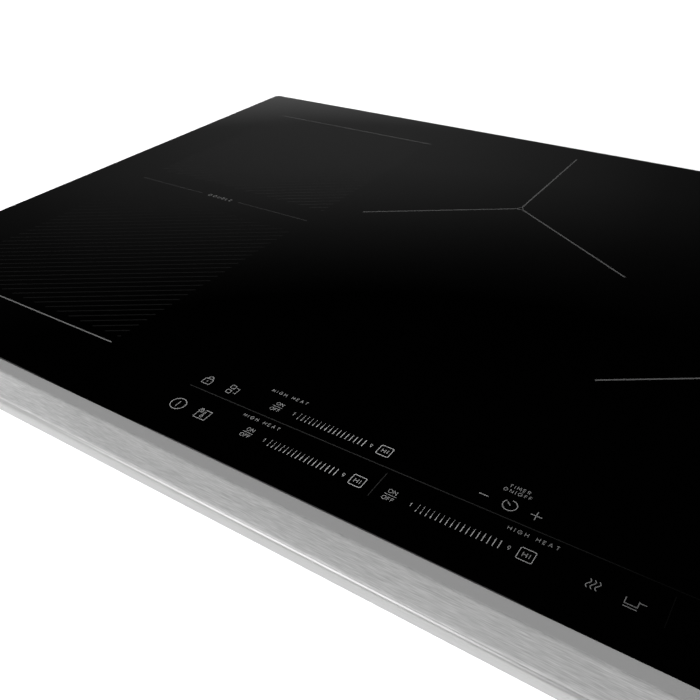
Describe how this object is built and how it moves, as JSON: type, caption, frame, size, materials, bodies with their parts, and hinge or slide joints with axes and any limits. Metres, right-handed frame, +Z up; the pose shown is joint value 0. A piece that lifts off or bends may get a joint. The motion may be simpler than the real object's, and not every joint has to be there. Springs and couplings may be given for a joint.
{
  "type": "electric induction cooktop",
  "caption": "Wide drop-in induction cooktop: black glass top with printed zone marks and touch controls, brushed metal front trim, and a shallow vented burner box.",
  "frame": {"origin": "centre of the overall footprint, on the underside of the burner box", "axes": "+X to the user's right along the front edge, +Y from the user to the back, +Z up out of the glass"},
  "size_m": [0.921, 0.54, 0.098],
  "materials": {
    "black_glass": "polished, opaque black glass-ceramic",
    "trim_metal": "brushed along its length",
    "galvanised_sheet": "galvanised",
    "foam": "closed-cell foam",
    "aluminium_sheet": "mill finish",
    "litz_winding": "copper-coloured enamel on stranded wire",
    "mica": "fibrous mica sheet",
    "black_plastic": "glass-filled plastic",
    "pale_plastic": "moulded plastic",
    "circuit_board": "solder resist",
    "spring_steel": "blued strip",
    "zinc_steel": "zinc plated"
  },
  "bodies": {
    "root": {"glass_top": "black_glass", "front_trim": "trim_metal", "trim_end_cap_left": "trim_metal", "trim_end_cap_right": "trim_metal", "burner_box": "galvanised_sheet", "coil_plate": "aluminium_sheet", "board_tray": "black_plastic", "filter_board": "circuit_board", "touch_board": "circuit_board", "touch_board_holder": "pale_plastic", "terminal_block": "pale_plastic", "junction_cover": "galvanised_sheet", "conduit_connector": "zinc_steel", "connector_locknut": "zinc_steel", "gasket_front": "foam", "gasket_rear": "foam", "gasket_left": "foam", "gasket_right": "foam", "coil_spring_left_front": "spring_steel", "coil_spring_left_rear": "spring_steel", "coil_spring_centre": "spring_steel", "coil_spring_right_front": "spring_steel", "coil_spring_right_rear": "spring_steel", "inverter_board_left": "circuit_board", "heat_sink_left": "aluminium_sheet", "fan_housing_left": "black_plastic", "inverter_board_right": "circuit_board", "heat_sink_right": "aluminium_sheet", "fan_housing_right": "black_plastic", "clamp_bracket_left_front": "zinc_steel", "clamp_bracket_left_rear": "zinc_steel", "clamp_bracket_right_front": "zinc_steel", "clamp_bracket_right_rear": "zinc_steel"},
    "coil_left_front": {"coil_carrier_left_front": "black_plastic", "coil_winding_left_front": "litz_winding", "coil_insulator_left_front": "mica", "coil_sensor_left_front": "pale_plastic"},
    "coil_left_rear": {"coil_carrier_left_rear": "black_plastic", "coil_winding_left_rear": "litz_winding", "coil_insulator_left_rear": "mica", "coil_sensor_left_rear": "pale_plastic"},
    "coil_centre": {"coil_carrier_centre": "black_plastic", "coil_winding_centre": "litz_winding", "coil_insulator_centre": "mica", "coil_sensor_centre": "pale_plastic"},
    "coil_right_front": {"coil_carrier_right_front": "black_plastic", "coil_winding_right_front": "litz_winding", "coil_insulator_right_front": "mica", "coil_sensor_right_front": "pale_plastic"},
    "coil_right_rear": {"coil_carrier_right_rear": "black_plastic", "coil_winding_right_rear": "litz_winding", "coil_insulator_right_rear": "mica", "coil_sensor_right_rear": "pale_plastic"},
    "fan_rotor_left": {"fan_impeller_left": "black_plastic"},
    "fan_rotor_right": {"fan_impeller_right": "black_plastic"},
    "screw_left_front": {"clamp_screw_left_front": "zinc_steel"},
    "screw_left_rear": {"clamp_screw_left_rear": "zinc_steel"},
    "screw_right_front": {"clamp_screw_right_front": "zinc_steel"},
    "screw_right_rear": {"clamp_screw_right_rear": "zinc_steel"}
  },
  "joints": [
    {"name": "coil_left_front_float", "type": "slide", "parent": "root", "child": "coil_left_front", "axis": [0, 0, 1], "range_m": [-0.003, 0], "stiffness_N_per_m": 3500, "springref_m": 0.005, "deforming": ["coil_spring_left_front"]},
    {"name": "coil_left_rear_float", "type": "slide", "parent": "root", "child": "coil_left_rear", "axis": [0, 0, 1], "range_m": [-0.003, 0], "stiffness_N_per_m": 3500, "springref_m": 0.005, "deforming": ["coil_spring_left_rear"]},
    {"name": "coil_centre_float", "type": "slide", "parent": "root", "child": "coil_centre", "axis": [0, 0, 1], "range_m": [-0.003, 0], "stiffness_N_per_m": 3500, "springref_m": 0.005, "deforming": ["coil_spring_centre"]},
    {"name": "coil_right_front_float", "type": "slide", "parent": "root", "child": "coil_right_front", "axis": [0, 0, 1], "range_m": [-0.003, 0], "stiffness_N_per_m": 3500, "springref_m": 0.005, "deforming": ["coil_spring_right_front"]},
    {"name": "coil_right_rear_float", "type": "slide", "parent": "root", "child": "coil_right_rear", "axis": [0, 0, 1], "range_m": [-0.003, 0], "stiffness_N_per_m": 3500, "springref_m": 0.005, "deforming": ["coil_spring_right_rear"]},
    {"name": "fan_left_spin", "type": "hinge", "parent": "root", "child": "fan_rotor_left", "pos_m": [-0.23, 0.15, 0.014], "axis": [0, 0, 1], "continuous": true},
    {"name": "fan_right_spin", "type": "hinge", "parent": "root", "child": "fan_rotor_right", "pos_m": [0.04, 0.15, 0.014], "axis": [0, 0, 1], "continuous": true},
    {"name": "clamp_left_front_travel", "type": "slide", "parent": "root", "child": "screw_left_front", "axis": [0, 0, 1], "range_m": [0, 0.021]},
    {"name": "clamp_left_rear_travel", "type": "slide", "parent": "root", "child": "screw_left_rear", "axis": [0, 0, 1], "range_m": [0, 0.021]},
    {"name": "clamp_right_front_travel", "type": "slide", "parent": "root", "child": "screw_right_front", "axis": [0, 0, 1], "range_m": [0, 0.021]},
    {"name": "clamp_right_rear_travel", "type": "slide", "parent": "root", "child": "screw_right_rear", "axis": [0, 0, 1], "range_m": [0, 0.021]}
  ]
}
